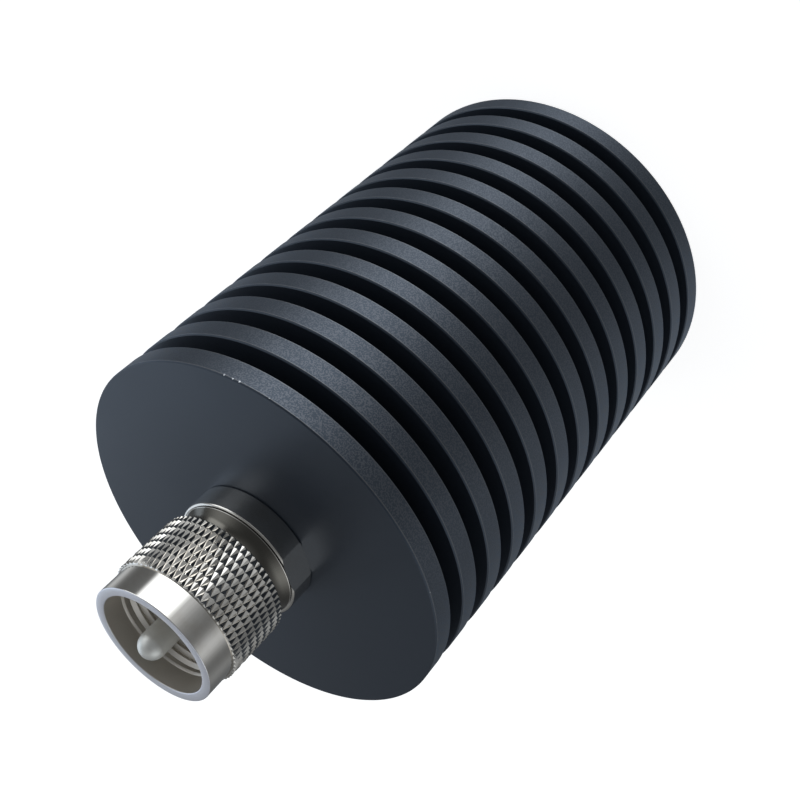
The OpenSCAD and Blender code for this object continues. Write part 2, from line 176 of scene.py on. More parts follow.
class NutSettings(bpy.types.PropertyGroup):
    """Sizes of the knurled coupling nut."""

    knurl_radius: length("Knurl radius", "Radius over the diamonds", NUT_HIGH.x)
    knurl_depth: length("Knurl depth", "Depth of the diamonds", 0.27 * MM)
    knurl_length: length("Knurl length", "Length of the knurled part", 10 * MM)
    knurl_setback: length("Knurl setback", "Plain edge at both ends of the knurl", 0.05 * MM)
    knurl_count: IntProperty(name="Diamonds", description="Number of diamonds round the band",
                             default=66, min=8)
    knurl_rise: length("Row rise", "Distance between two rows of diamonds", 1.45 * MM)
    knurl_lead: length("Row lead", "How far the first row starts behind the band", 0.35 * MM)
    knurl_land: amount("Land", "Size of each diamond's flat top against the whole diamond", 0.10)
    end_slope: amount("End slope", "How steeply the diamonds rise at the ends of the band", 2.0)
    core_radius: length("Core radius", "Radius of the metal under the knurl", 9.8 * MM)
    front_radius: length("Collar radius", "Radius of the smooth front collar", 9.7 * MM)
    front_cone: length("Collar cone", "Length of the cone from the knurl down to the collar", 0.5 * MM)
    rim_round: length("Rim rounding", "Rounding of the rim's outer edge", 0.15 * MM)
    mouth_radius: length("Mouth radius", "Radius of the front counterbore", 8.3 * MM)
    mouth_depth: length("Mouth depth", "Depth of the front counterbore", 3.2 * MM)
    mouth_round: length("Mouth rounding", "Rounding of the counterbore's edge", 0.15 * MM)
    thread_crest: length("Thread crest", "Radius at the crests of the thread", 7.45 * MM)
    thread_root: length("Thread root", "Radius at the roots of the thread", 7.95 * MM)
    thread_pitch: length("Thread pitch", "Rise of one turn of the thread", 1.058 * MM)
    bore_radius: length("Bore radius", "Radius of the plain rear bore", 8.25 * MM)
    bore_length: length("Bore length", "Length of the plain rear bore", 4.1 * MM)
    bore_round: length("Bore rounding", "Rounding at the rear mouth", 0.2 * MM)
    groove_radius: length("Groove radius", "Radius of the nut's groove for the retaining ring", 8.83 * MM)


class PinSettings(bpy.types.PropertyGroup):
    """Sizes and colour of the centre contact."""

    radius: length("Radius", "Radius of the contact", 1.98 * MM)
    shank_radius: length("Shank radius", "Radius inside the front insulator", 1.5 * MM)
    shoulder_radius: length("Shoulder radius", "Radius between the insulators", 2.2 * MM)
    tail_radius: length("Tail radius", "Radius of the tail", 1.2 * MM)
    plate_colour: colour("Plate colour", "Satin silver plate", (0.88, 0.87, 0.82))


class StageSettings(bpy.types.PropertyGroup):
    """Camera, floor and lights."""

    camera_place: FloatVectorProperty(name="Camera place", description="Where the camera stands", size=3,
                                      default=(0.43 * MM, 151.25 * MM, 162.58 * MM),
                                      subtype="TRANSLATION", unit="LENGTH")
    camera_turn: FloatVectorProperty(name="Camera turn", description="How the camera is turned", size=3,
                                     default=tuple(math.radians(a) for a in (-42.626, 33.853, 31.184)),
                                     subtype="EULER", unit="ROTATION")
    focal_length: FloatProperty(name="Focal length", description="Of the lens, in millimetres", default=54.58)
    floor_size: length("Floor size", "Side of the square floor", 8.0)
    floor_colour: colour("Floor colour", "Pale sheet under the object", (0.55, 0.55, 0.55))
    floor_glow: amount("Floor glow", "How white the floor is to the camera where no light reaches it", 0.86)
    light_tint: colour("Light tint", "Slightly cool daylight", (0.90, 0.95, 1.0))
    card_tint: colour("Card tint", "Cooler light of the card behind", (0.73, 0.85, 1.0))
    card_power: amount("Card power", "Watts of the broad card behind", 2.1)
    room_level: amount("Room level", "Strength of the light from all round", 0.15)


class DummyLoadSettings(bpy.types.PropertyGroup):
    """All settings of the part and its studio."""

    heatsink: PointerProperty(type=HeatsinkSettings)
    connector: PointerProperty(type=ConnectorSettings)
    nut: PointerProperty(type=NutSettings)
    pin: PointerProperty(type=PinSettings)
    stage: PointerProperty(type=StageSettings)


class Value:
    """A shader socket, on which arithmetic adds Math nodes."""

    def __init__(self, sheet, socket):
        self.sheet = sheet
        self.socket = socket

    def _math(self, operation, *terms):
        return self.sheet.node("ShaderNodeMath", {"operation": operation}, dict(enumerate(terms)))

    def __add__(self, other):
        return self._math("ADD", self, other)

    def __radd__(self, other):
        return self._math("ADD", other, self)

    def __sub__(self, other):
        return self._math("SUBTRACT", self, other)

    def __rsub__(self, other):
        return self._math("SUBTRACT", other, self)

    def __mul__(self, other):
        return self._math("MULTIPLY", self, other)

    def __rmul__(self, other):
        return self._math("MULTIPLY", other, self)

    def __truediv__(self, other):
        return self._math("DIVIDE", self, other)

    def __pow__(self, other):
        return self._math("POWER", self, other)

    def at_least(self, other):
        return self._math("MAXIMUM", self, other)

    def remainder(self, other):
        return self._math("MODULO", self, other)

    def size(self):
        return self._math("ABSOLUTE", self)

    def angle(self, other):
        return self._math("ARCTAN2", self, other)


class NodeSheet:
    """The node tree of one material or of the world."""

    def __init__(self, owner):
        owner.use_nodes = True
        self.owner = owner
        self.tree = owner.node_tree
        self.tree.nodes.clear()

    def node(self, kind, settings=None, inputs=None, output=0):
        """Add a node with its settings and socket values or links, and return one of its outputs."""
        made = self.tree.nodes.new(kind)
        for key, setting in (settings or {}).items():
            setattr(made, key, setting)
        for key, given in (inputs or {}).items():
            if isinstance(given, Value):
                self.tree.links.new(given.socket, made.inputs[key])
            else:
                made.inputs[key].default_value = given
        return Value(self, made.outputs[output]) if made.outputs else made

    def place(self):
        """Object coordinates as a vector, and as three values."""
        vector = self.node("ShaderNodeTexCoord", output="Object")
        axes = [self.node("ShaderNodeSeparateXYZ", None, {"Vector": vector}, axis) for axis in "XYZ"]
        return vector, axes

    def noise(self, vector, scale, detail=2.0, roughness=0.5):
        """Soft noise from 0 to 1, with `scale` features to the metre."""
        return self.node("ShaderNodeTexNoise", None, {"Vector": vector, "Scale": scale, "Detail": detail,
                                                      "Roughness": roughness})

    def lines(self, along, scale, detail=3.0, roughness=0.6):
        """Noise along one direction only, as tool marks lie."""
        return self.node("ShaderNodeTexNoise", {"noise_dimensions": "1D"},
                         {"W": along, "Scale": scale, "Detail": detail, "Roughness": roughness})

    def step(self, value, low, high):
        """0 below low, 1 above high, and smooth between them."""
        return self.node("ShaderNodeMapRange", {"interpolation_type": "SMOOTHSTEP"},
                         {"Value": value, "From Min": low, "From Max": high})

    def blend(self, factor, first, second):
        """Mix two colours."""
        return self.node("ShaderNodeMix", {"data_type": "RGBA"},
                         {0: factor, 6: shade(first), 7: shade(second)}, 2)

    def bump(self, height, distance=1.0):
        """Surface normal of a height field, in metres or in parts of a distance."""
        return self.node("ShaderNodeBump", None, {"Height": height, "Distance": distance, "Strength": 1.0})

    def surface(self, **inputs):
        """Close the tree with a Principled shader, whose sockets are named with underscores."""
        sockets = {key.replace("_", " "): given for key, given in inputs.items()}
        bsdf = self.node("ShaderNodeBsdfPrincipled", None, sockets)
        self.node("ShaderNodeOutputMaterial", None, {"Surface": bsdf})
        return self.owner


def shade(given):
    """A colour as a socket takes it."""
    return given if isinstance(given, Value) else (*given[:3], 1.0)


def new_sheet(name):
    """An empty material sheet."""
    return NodeSheet(bpy.data.materials.new(name))


def radius_of(axes):
    """Distance from the axis of the part."""
    x, y, _ = axes
    return (x * x + y * y) ** 0.5


def fin_pitch(s):
    """Distance from one fin to the next."""
    return (s.body_length - s.fin_width) / (s.fin_count - 1)


# Anodising: where a rim begins, as a share of its chamfer and as a length; features to the metre of the
# blasted grain and of the clouds in the dye; where the grain turns to bright points; width of a rim's edge
# band, lighter from wear and as a painted highlight, and what it adds to the grain; depth of the grain, and
# the share of it on the turned faces
RIM_SHARE = 0.3
RIM_EDGE = 0.01 * MM
GRAIN_SCALE = 5000.0
CLOUD_SCALE = 90.0
POINTS_FROM, POINTS_FULL = 0.46, 0.58
WORN_HIGHLIGHT_WIDTH = 0.15 * MM
WORN_HIGHLIGHT_POINTS = 0.25
GRAIN_DEPTH = 0.012 * MM
FACE_GRAIN = 0.03

# Its roughness, what the clouds and the grain add to it, and how strongly its surface mirrors
ANODISED_ROUGH = 0.40
CLOUD_ROUGH = 0.05
GRAIN_ROUGH = 0.10
ANODISED_IOR = 1.65


def anodised_finish(settings):
    """Black anodising: satin on the turned faces, blasted on the rims, their edges lighter from wear and as a
    painted highlight, chipped on the front edge.
    """
    sheet = new_sheet("black_anodised")
    vector, axes = sheet.place()
    radius = radius_of(axes)
    rim = sheet.step(radius, settings.radius - RIM_SHARE * settings.edge_chamfer, settings.radius - RIM_EDGE)
    grain = sheet.noise(vector, GRAIN_SCALE, detail=0.0)
    cloud = sheet.noise(vector, CLOUD_SCALE, detail=3.0)
    half_rim = settings.fin_width / 2 - settings.edge_chamfer
    across = (axes[2].remainder(fin_pitch(settings)) - settings.fin_width / 2).size()
    # Edge band of each rim: lighter in colour and richer in bright points, partly from wear and partly as a
    # painted highlight of the edge line
    worn_edge_highlight = sheet.step(across, half_rim - WORN_HIGHLIGHT_WIDTH, half_rim)
    points = rim * sheet.step(grain + WORN_HIGHLIGHT_POINTS * worn_edge_highlight, POINTS_FROM, POINTS_FULL)
    dye = sheet.blend(rim, settings.face_colour, settings.rim_colour)
    blasted = sheet.blend(points, dye, settings.point_colour)
    tone = sheet.blend(rim * worn_edge_highlight, blasted, settings.edge_highlight_colour)
    chips = edge_chips(sheet, vector, settings)
    return sheet.surface(
        Base_Color=sheet.blend(chips, tone, settings.metal_colour),
        Metallic=chips.at_least(points),
        Roughness=ANODISED_ROUGH + CLOUD_ROUGH * cloud + rim * GRAIN_ROUGH * (grain - 0.5),
        IOR=ANODISED_IOR,
        Specular_Tint=shade(settings.sheen_colour),
        Normal=sheet.bump(grain * (FACE_GRAIN + (1 - FACE_GRAIN) * rim), GRAIN_DEPTH),
    )


# Azimuth in degrees and size in millimetres of each chip on the front edge
EDGE_CHIPS = ((125.0, 0.36), (122.3, 0.34), (120.4, 0.33), (111.5, 0.26), (48.0, 0.28), (205.0, 0.32))

# Features to the metre of a chip's outline, how far it wanders, and the bare share of a chip
CHIP_SCALE = 3800.0
CHIP_WANDER = 0.35 * MM
CHIP_BARE = 0.8


def edge_chips(sheet, vector, settings):
    """Mask of the small chips that handling left on the front edge."""
    ragged = sheet.noise(vector, CHIP_SCALE, detail=3.0)
    mask = None
    for azimuth, size in EDGE_CHIPS:
        turn = math.radians(azimuth)
        centre = (settings.radius * math.cos(turn), settings.radius * math.sin(turn),
                  settings.body_length - settings.edge_chamfer)
        away = sheet.node("ShaderNodeVectorMath", {"operation": "DISTANCE"}, {0: vector, 1: centre}, "Value")
        chip = 1 - sheet.step(away + ragged * CHIP_WANDER, CHIP_BARE * size * MM, size * MM)
        mask = chip if mask is None else mask.at_least(chip)
    return mask


# Plate: features to the metre of the tool marks and the smears, and to the radian of the faint streaks
# along the axis; height of those streaks; where a smear begins and is full; how far one finish runs into
# the next; and how deep a rim's end face counts
TURNING_SCALE = 9000.0
SMEAR_SCALE = 220.0
STREAK_SCALE = 26.0
STREAK_DEPTH = 0.003 * MM
SMEAR_FROM, SMEAR_FULL = 0.45, 0.75
FINISH_EDGE = 0.1 * MM
RIM_FACE_DEPTH = 0.02 * MM

# What a stain leaves of each colour, which also serves as a light painted shade inside the nut; what the deep
# painted shade above the connector's collar leaves of each colour; and the colour of a satin end face, whose
# pale bluish tint is a painted reflection
STAIN_AND_SHADE = (0.91, 0.895, 0.87)
DEEP_SHADE = (0.20, 0.197, 0.185)
END_FACE_REFLECTION = (0.86, 0.86, 0.92)

# Roughness that smears, tool marks and a satin finish add, and how far a satin end face and a satin
# hollow scatter the light
SMEAR_ROUGH = 0.03
TURNING_ROUGH = 0.05
SATIN_ROUGH = 0.26
END_SCATTER = 0.5
HOLLOW_SCATTER = 0.25


def behind(stain_and_shade_tint, plate):
    """Colour of a plate darkened by the share of each colour that a stain leaves; the same serves for painted
    shade.
    """
    return [part * share for part, share in zip(plate, stain_and_shade_tint)]


def plated_finish(name, plate, rough, marks, stain_and_shade_tint=DEEP_SHADE, shade_inside=0.0, shade_beyond=1.0,
                  satin_inside=0.0, satin_beyond=1.0):
    """Bright plate over turned metal with tool marks.

    Inside a radius or beyond a height its colour is darkened as painted shade. It is satin inside a radius,
    and on an end face beyond a height, where its pale bluish colour is a painted reflection."""
    sheet = new_sheet(name)
    vector, axes = sheet.place()
    radius = radius_of(axes)
    turning = sheet.lines(axes[2] + radius, TURNING_SCALE)
    streaks = sheet.lines(axes[1].angle(axes[0]), STREAK_SCALE, detail=2.0)
    cloud = sheet.noise(vector, SMEAR_SCALE, detail=4.0, roughness=0.6)
    smear = sheet.step(cloud, SMEAR_FROM, SMEAR_FULL)
    # Painted shade: the plate is darkened inside a radius and beyond a height
    painted_shade = (1 - sheet.step(radius, shade_inside - FINISH_EDGE, shade_inside)).at_least(
        sheet.step(axes[2], shade_beyond, shade_beyond + FINISH_EDGE))
    # On an end face the finish is satin; its pale bluish colour there is a painted reflection
    satin = sheet.step(axes[2], satin_beyond - FINISH_EDGE, satin_beyond)
    matt = 1 - sheet.step(radius, satin_inside, satin_inside + FINISH_EDGE)
    clean = sheet.blend(smear, plate, behind(STAIN_AND_SHADE, plate))
    shaded_plate = sheet.blend(painted_shade, clean, behind(stain_and_shade_tint, plate))
    return sheet.surface(
        Base_Color=sheet.blend(satin, shaded_plate, END_FACE_REFLECTION),
        Metallic=1 - END_SCATTER * satin - HOLLOW_SCATTER * matt,
        Roughness=rough + SMEAR_ROUGH * smear + TURNING_ROUGH * turning + SATIN_ROUGH * satin.at_least(matt),
        Normal=sheet.bump(turning * marks + streaks * STREAK_DEPTH),
    )


# Lightest and darkest shade of the white parts inside
INSULATOR_SHADES = (0.86, 0.85, 0.80), (0.78, 0.77, 0.71)
CERAMIC_SHADES = (0.84, 0.84, 0.80), (0.74, 0.74, 0.70)

# Clean colour, tarnished colour and roughness of the metals inside, and the plate of the flange
SPRING_BRONZE = (0.66, 0.48, 0.27), (0.48, 0.32, 0.17), 0.24
COPPER = (0.83, 0.50, 0.35), (0.60, 0.32, 0.21), 0.26
SILVER_RIBBON = (0.86, 0.85, 0.82), (0.68, 0.66, 0.61), 0.20
SCREW_STEEL = (0.58, 0.58, 0.58), (0.42, 0.41, 0.40), 0.22
FLANGE_PLATE = (0.68, 0.65, 0.60)

# Least roughness of the white parts inside and what their clouds or grain add, roughness that tarnish
# adds to the metals, and how far their scratches slant
INSULATOR_ROUGH, INSULATOR_CLOUDS = 0.42, 0.12
CERAMIC_ROUGH, CERAMIC_GRAIN = 0.45, 0.15
TARNISH_ROUGH = 0.18
SCRATCH_SLANT = 0.3


def insulator_finish():
    """Waxy white fluoropolymer with faint turning marks."""
    sheet = new_sheet("white_insulator")
    vector, axes = sheet.place()
    cloud = sheet.noise(vector, scale=400.0, detail=3.0)
    turning = sheet.lines(axes[2] + radius_of(axes), scale=5000.0)
    return sheet.surface(
        Base_Color=sheet.blend(cloud, *INSULATOR_SHADES),
        Roughness=INSULATOR_ROUGH + INSULATOR_CLOUDS * cloud,
        Normal=sheet.bump(turning, distance=0.004 * MM),
    )


def bare_metal_finish(name, bright, dull, rough):
    """Unplated metal with a drifting tarnish and fine scratches."""
    sheet = new_sheet(name)
    vector, axes = sheet.place()
    tarnish = sheet.noise(vector, scale=300.0, detail=5.0, roughness=0.6)
    scratches = sheet.lines(axes[0] + axes[1] * SCRATCH_SLANT + axes[2], scale=7000.0)
    return sheet.surface(
        Base_Color=sheet.blend(sheet.step(tarnish, low=0.35, high=0.7), bright, dull),
        Metallic=1.0,
        Roughness=rough + TARNISH_ROUGH * tarnish,
        Normal=sheet.bump(scratches, distance=0.004 * MM),
    )


def ceramic_finish():
    """Fired white ceramic with a fine grain."""
    sheet = new_sheet("alumina")
    vector, _ = sheet.place()
    grain = sheet.noise(vector, scale=6000.0, detail=3.0)
    cloud = sheet.noise(vector, scale=500.0)
    return sheet.surface(
        Base_Color=sheet.blend(cloud, *CERAMIC_SHADES),
        Roughness=CERAMIC_ROUGH + CERAMIC_GRAIN * grain,
        Normal=sheet.bump(grain, distance=0.003 * MM),
    )


def lathe(outline, steps, closed=False):
    """Turn an outline of (radius, height, rounding) corners round the Z axis into a shell."""
    bm = bmesh.new()
    corners = [bm.verts.new((radius, 0.0, height)) for radius, height, _ in outline]
    ends = corners[1:] + corners[:1] if closed else corners[1:]
    for start, end in zip(corners, ends):
        bm.edges.new((start, end))
    for rounding in sorted({corner[2] for corner in outline} - {0.0}):
        rounded = [vert for vert, corner in zip(corners, outline) if corner[2] == rounding]
        segments = max(ROUND_STEPS_LEAST, round(rounding / ROUND_STEP))
        bmesh.ops.bevel(bm, geom=rounded, offset=rounding, segments=segments, profile=0.5,
                        affect="VERTICES", material=-1)
    bmesh.ops.spin(bm, geom=bm.verts[:] + bm.edges[:], cent=(0, 0, 0), axis=(0, 0, 1), angle=math.tau,
                   steps=steps, use_merge=True)
    bmesh.ops.remove_doubles(bm, verts=bm.verts[:], dist=MERGE_DISTANCE)
    bmesh.ops.recalc_face_normals(bm, faces=bm.faces[:])
    return bm


def joined(*shells):
    """One bmesh from several, which are used up."""
    whole = bmesh.new()
    for shell in shells:
        mesh = bpy.data.meshes.new("shell")
        shell.to_mesh(mesh)
        shell.free()
        whole.from_mesh(mesh)
        bpy.data.meshes.remove(mesh)
    return whole


def everything(bm):
    """All geometry of a bmesh."""
    return bm.verts[:] + bm.edges[:] + bm.faces[:]


def add_piece(name, bm, material, body, node):
    """Make an object of a mesh, let it ride on a body and stand for a solid."""
    for face in bm.faces:
        face.smooth = True
    for edge in bm.edges:
        edge.smooth = edge.smooth and edge.is_manifold and edge.calc_face_angle() < SHARP_ANGLE
    mesh = bpy.data.meshes.new(name)
    bm.to_mesh(mesh)
    bm.free()
    mesh.materials.append(material)
    piece = bpy.data.objects.new(name, mesh)
    bpy.context.scene.collection.objects.link(piece)
    shading = piece.modifiers.new("even_shading", "WEIGHTED_NORMAL")
    shading.keep_sharp = True
    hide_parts(node)
    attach(piece, body)


def heatsink_outline(s):
    """Half section of the finned body, from its rear face round to the end of the blind bore."""
    pitch = fin_pitch(s)
    socket_z = CONNECTOR_LOW.z
    bore_z = CARRIER_LOW.z
    edge = s.radius - s.edge_chamfer
    outline = [(0.0, 0.0, 0.0), (edge, 0.0, 0.0), (s.radius, s.edge_chamfer, 0.0)]
    for fin in range(s.fin_count - 1):
        rear = fin * pitch + s.fin_width
        front = (fin + 1) * pitch
        outline += [
            (s.radius, rear - s.edge_chamfer, 0.0),
            (edge, rear, 0.0),
            (s.core_radius, rear, s.root_round),
            (s.core_radius, front, s.root_round),
            (edge, front, 0.0),
            (s.radius, front + s.edge_chamfer, 0.0),
        ]
    return outline + [
        (s.radius, s.body_length - s.edge_chamfer, 0.0),
        (edge, s.body_length, 0.0),
        (s.socket_radius, s.body_length, s.socket_edge),
        (s.socket_radius, socket_z, 0.0),
        (s.bore_radius, socket_z, 0.0),
        (s.bore_radius, bore_z, 0.0),
        (0.0, bore_z, 0.0),
    ]


def connector_outline(s, face_z):
    """Half section of the connector body without its collar and without the slotted end of its sleeve."""
    low = CONNECTOR_LOW.z
    shoulder_z = s.neck_end + s.shoulder_height
    sleeve_z = CONNECTOR_HIGH.z - s.key_depth
    lip_z = CONNECTOR_HIGH.z - s.lip_height
    return [
        (s.bore_radius, low, 0.0),
        (s.spigot_radius, low, s.neck_edge),
        (s.spigot_radius, face_z - s.relief_height, 0.0),
        (s.relief_radius, face_z - s.relief_height, 0.0),
        (s.relief_radius, face_z + s.relief_height, 0.0),
        (s.flare_radius, face_z + s.relief_height, 0.0),
        (s.flare_radius, face_z + s.collar_height, 0.0),
        (s.neck_radius, face_z + s.collar_height + s.flare_height, FLARE_ROUND),
        (s.neck_radius, s.groove_low, 0.0),
        (s.groove_radius, s.groove_low, 0.0),
        (s.groove_radius, s.groove_high, 0.0),
        (s.neck_radius, s.groove_high, 0.0),
        (s.neck_radius, s.neck_end, s.neck_edge),
        (s.shoulder_radius, s.neck_end, 0.0),
        (s.shoulder_radius, shoulder_z, SHOULDER_EDGE),
        (s.sleeve_radius, shoulder_z, 0.0),
        (s.sleeve_radius, sleeve_z, 0.0),
        (s.lip_radius, sleeve_z, 0.0),
        (s.lip_radius, lip_z, 0.0),
        (s.bore_radius, lip_z, 0.0),
    ]


def collar_shell(s, face_z):
    """Ring on the front face with two wrench flats."""
    inside = s.relief_radius - COLLAR_BURIED
    top = face_z + s.collar_height
    bm = lathe([
        (inside, face_z, 0.0),
        (s.collar_radius, face_z, s.collar_foot),
        (s.collar_radius, top, s.collar_edge),
        (inside, top, 0.0),
    ], COLLAR_STEPS, closed=True)
    for turn in (s.flat_angle, s.flat_angle + math.pi):
        outward = Vector((math.cos(turn), math.sin(turn), 0.0))
        cut = bmesh.ops.bisect_plane(bm, geom=everything(bm), dist=MERGE_DISTANCE,
                                     plane_co=outward * s.flat_distance / 2, plane_no=outward,
                                     clear_outer=True)["geom_cut"]
        bmesh.ops.edgeloop_fill(bm, edges=[part for part in cut if isinstance(part, bmesh.types.BMEdge)])
    bmesh.ops.recalc_face_normals(bm, faces=bm.faces[:])
    return bm


def sleeve_tooth(s, quarter):
    """One of the four teeth between the key slots at the end of the contact sleeve."""
    middle = (s.sleeve_radius + s.lip_radius) / 2
    half_slot = math.asin(s.key_width / 2 / middle)
    low = CONNECTOR_HIGH.z - s.key_depth - TOOTH_BURIED
    size = (s.sleeve_radius - s.lip_radius, CONNECTOR_HIGH.z - low)
    bm = bmesh.new()
    bmesh.ops.create_grid(bm, x_segments=1, y_segments=1, size=0.5)
    stand = (Matrix.Rotation(quarter * math.pi / 2 + half_slot, 4, "Z")
             @ Matrix.Translation((middle, 0.0, low + size[1] / 2))
             @ Matrix.Rotation(math.pi / 2, 4, "X")
             @ Matrix.Diagonal((*size, 1.0, 1.0)))
    bmesh.ops.transform(bm, matrix=stand, verts=bm.verts[:])
    bmesh.ops.spin(bm, geom=everything(bm), cent=(0, 0, 0), axis=(0, 0, 1),
                   angle=math.pi / 2 - 2 * half_slot, steps=TOOTH_STEPS)
    bmesh.ops.recalc_face_normals(bm, faces=bm.faces[:])
    return bm


def nut_outline(s, neck):
    """Half section of the nut under its knurl, its bore at the roots of the thread."""
    low = NUT_LOW.z
    rim_z = NUT_HIGH.z
    knurl_z = low + s.knurl_length
    seat_z = low + s.bore_length
    thread_z = rim_z - s.mouth_depth
    return [
        (s.bore_radius, low, s.bore_round),
        (s.core_radius, low, 0.0),
        (s.core_radius, knurl_z, 0.0),
        (s.front_radius, knurl_z + s.front_cone, 0.0),
        (s.front_radius, rim_z, s.rim_round),
        (s.mouth_radius, rim_z, s.mouth_round),
        (s.mouth_radius, thread_z, MOUTH_CORNER),
        (s.thread_root, thread_z - THREAD_LEAD, 0.0),
        (s.thread_root, seat_z, 0.0),
        (s.bore_radius, seat_z, 0.0),
        (s.bore_radius, neck.groove_high, 0.0),
        (s.groove_radius, neck.groove_high, 0.0),
        (s.groove_radius, neck.groove_low, 0.0),
        (s.bore_radius, neck.groove_low, 0.0),
    ]


def thread_ridge(s):
    """Helical ridge of the nut's thread."""
    low = NUT_LOW.z + s.bore_length + THREAD_START
    high = NUT_HIGH.z - s.mouth_depth - THREAD_LEAD
    turns = (high - low) / s.thread_pitch - 1.0
    bm = bmesh.new()
    bmesh.ops.create_circle(bm, cap_ends=True, segments=3, radius=1.0)
    depth = s.thread_root - s.thread_crest
    stand = (Matrix.Translation((s.thread_root - depth / 3, 0.0, low + s.thread_pitch / 2))
             @ Matrix.Diagonal((-depth / TRIANGLE_HEIGHT, 1.0, s.thread_pitch / TRIANGLE_SPREAD, 1.0))
             @ Matrix.Rotation(math.pi / 2, 4, "X")
             @ Matrix.Rotation(-math.pi / 2, 4, "Z"))
    bmesh.ops.transform(bm, matrix=stand, verts=bm.verts[:])
    bmesh.ops.spin(bm, geom=everything(bm), cent=(0, 0, 0), axis=(0, 0, 1),
                   dvec=(0, 0, s.thread_pitch / THREAD_STEPS), angle=turns * math.tau,
                   steps=round(turns * THREAD_STEPS))
    bmesh.ops.recalc_face_normals(bm, faces=bm.faces[:])
    return bm


def diamond_row(s, row, low):
    """One ring of raised diamonds, turned by half a diamond in every other row."""
    half_turn = math.pi / s.knurl_count
    root = s.knurl_radius - s.knurl_depth
    rise = s.knurl_rise
    half_width = root * math.tan(half_turn)
    inner = half_width * rise / math.hypot(half_width, rise)
    bm = bmesh.new()
    bmesh.ops.create_circle(bm, cap_ends=True, segments=4, radius=1.0)
    stand = (Matrix.Rotation((row % 2) * half_turn, 4, "Z")
             @ Matrix.Translation((root, 0.0, low + row * rise))
             @ Matrix(((0, 0, 1), (1, 0, 0), (0, 1, 0))).to_4x4()
             @ Matrix.Diagonal((half_width, rise, 1.0, 1.0)))
    bmesh.ops.transform(bm, matrix=stand, verts=bm.verts[:])
    bmesh.ops.inset_individual(bm, faces=bm.faces[:], thickness=inner * (1 - s.knurl_land),
                               depth=s.knurl_depth, use_even_offset=True)
    bmesh.ops.spin(bm, geom=everything(bm), cent=(0, 0, 0), axis=(0, 0, 1), angle=math.tau,
                   steps=s.knurl_count, use_duplicate=True, use_merge=True)
    return bm


def set_radius(vert, radius):
    """Move a vertex straight towards or away from the axis."""
    vert.co.xy = vert.co.xy.normalized() * radius


def knurl_band(s):
    """Closed band of diamonds, cut square at both ends and chamfered there."""
    low = NUT_LOW.z + s.knurl_setback
    high = NUT_LOW.z + s.knurl_length - s.knurl_setback
    root = s.knurl_radius - s.knurl_depth
    first = low - s.knurl_lead
    rows = math.ceil((high - first) / s.knurl_rise) + 1
    bm = joined(*(diamond_row(s, row, first) for row in range(rows)))
    bmesh.ops.remove_doubles(bm, verts=bm.verts[:], dist=KNURL_MERGE)
    for height, side in ((low, -1), (high, 1)):
        bmesh.ops.bisect_plane(bm, geom=everything(bm), dist=MERGE_DISTANCE, plane_co=(0, 0, height),
                               plane_no=(0, 0, side), clear_outer=True)
        slope_start = height - side * s.knurl_depth / s.end_slope
        bmesh.ops.bisect_plane(bm, geom=everything(bm), dist=MERGE_DISTANCE, plane_co=(0, 0, slope_start),
                               plane_no=(0, 0, side))
    for vert in bm.verts:
        limit = root + s.end_slope * min(vert.co.z - low, high - vert.co.z)
        if vert.co.xy.length > limit:
            set_radius(vert, limit)
    ends = bmesh.ops.extrude_edge_only(bm, edges=[edge for edge in bm.edges if edge.is_boundary])["geom"]
    for vert in ends:
        if isinstance(vert, bmesh.types.BMVert):
            set_radius(vert, s.core_radius - KNURL_BURIED)
    bmesh.ops.bridge_loops(bm, edges=[edge for edge in bm.edges if edge.is_boundary])
    bmesh.ops.recalc_face_normals(bm, faces=bm.faces[:])
    for edge in bm.edges:
        edge.smooth = False
    return bm


def pin_outline(s):
    """Half section of the centre contact, from its tail to its round nose."""
    shoulder_low = REAR_INSULATOR_HIGH.z
    shoulder_high = FRONT_INSULATOR_LOW.z
    seat_z = CONNECTOR_HIGH.z
    return [
        (0.0, PIN_LOW.z, 0.0),
        (s.tail_radius, PIN_LOW.z, TAIL_EDGE),
        (s.tail_radius, shoulder_low, 0.0),
        (s.shoulder_radius, shoulder_low, 0.0),
        (s.shoulder_radius, shoulder_high, 0.0),
        (s.shank_radius, shoulder_high, 0.0),
        (s.shank_radius, seat_z, 0.0),
        (s.radius, seat_z, SEAT_EDGE),
        (s.radius, PIN_HIGH.z, NOSE_SHARE * s.radius),
        (0.0, PIN_HIGH.z, 0.0),
    ]


class DUMMYLOAD_OT_heatsink(bpy.types.Operator):
    """Turn the finned body and anodise it"""

    bl_idname = "dummy_load.heatsink"
    bl_label = "Finned Body"

    def execute(self, context):
        s = context.scene.dummy_load.heatsink
        bm = lathe(heatsink_outline(s), BODY_STEPS)
        add_piece("finned_body", bm, anodised_finish(s), "load", "heatsink")
        return {"FINISHED"}


class DUMMYLOAD_OT_connector(bpy.types.Operator):
    """Make the fixed connector body with its collar and sleeve"""

    bl_idname = "dummy_load.connector"
    bl_label = "Connector Body"

    def execute(self, context):
        settings = context.scene.dummy_load
        s = settings.connector
        face_z = settings.heatsink.body_length
        teeth = [sleeve_tooth(s, quarter) for quarter in range(4)]
        shell = lathe(connector_outline(s, face_z), CONNECTOR_STEPS, closed=True)
        bm = joined(shell, collar_shell(s, face_z), *teeth)
        # Above the collar, on the neck between the collar and the nut, the plate gets a deep painted shade
        finish = plated_finish("nickel_body", s.plate_colour, rough=0.16, marks=0.0015 * MM,
                               shade_beyond=face_z + s.collar_height)
        add_piece("connector_shell", bm, finish, "load", "connector_body")
        return {"FINISHED"}


